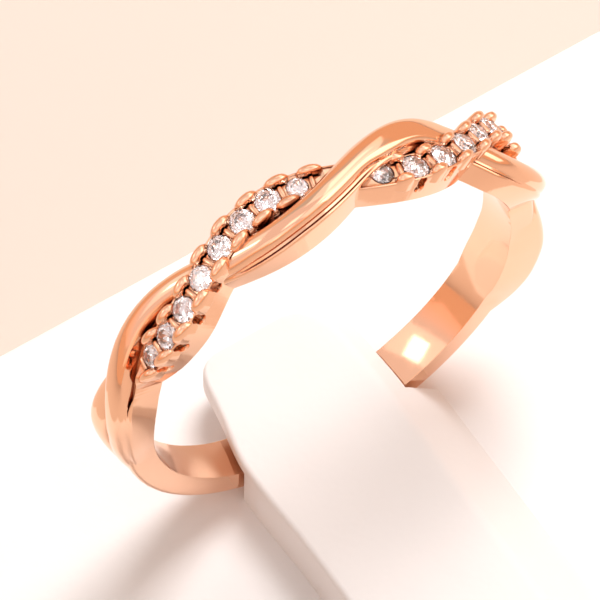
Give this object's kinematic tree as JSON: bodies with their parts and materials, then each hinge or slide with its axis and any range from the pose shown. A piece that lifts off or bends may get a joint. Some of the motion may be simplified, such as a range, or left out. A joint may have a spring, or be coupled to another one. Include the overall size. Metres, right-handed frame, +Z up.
{
  "type": "twisted eternity ring on a display stand",
  "caption": "Finger ring of a smooth strand twisted round a strand set with small round stones, upright on a plain white display stand.",
  "frame": {"origin": "middle of the stand's underside", "axes": "+Z up, +Y away from the viewer of the picture, along the ring's axis; +X to the viewer's right"},
  "size_m": [0.046, 0.025, 0.0279],
  "materials": {
    "rose_gold": "polished",
    "clear_stone": "polished",
    "white_cover": "matte"
  },
  "bodies": {
    "root": {"ring_band": "rose_gold", "display_base": "white_cover", "display_tongue": "white_cover", "stone_01": "clear_stone", "stone_02": "clear_stone", "stone_03": "clear_stone", "stone_04": "clear_stone", "stone_05": "clear_stone", "stone_06": "clear_stone", "stone_07": "clear_stone", "stone_08": "clear_stone", "stone_09": "clear_stone", "stone_10": "clear_stone", "stone_11": "clear_stone", "stone_12": "clear_stone", "stone_13": "clear_stone", "stone_14": "clear_stone", "stone_15": "clear_stone", "stone_16": "clear_stone"}
  },
  "joints": []
}
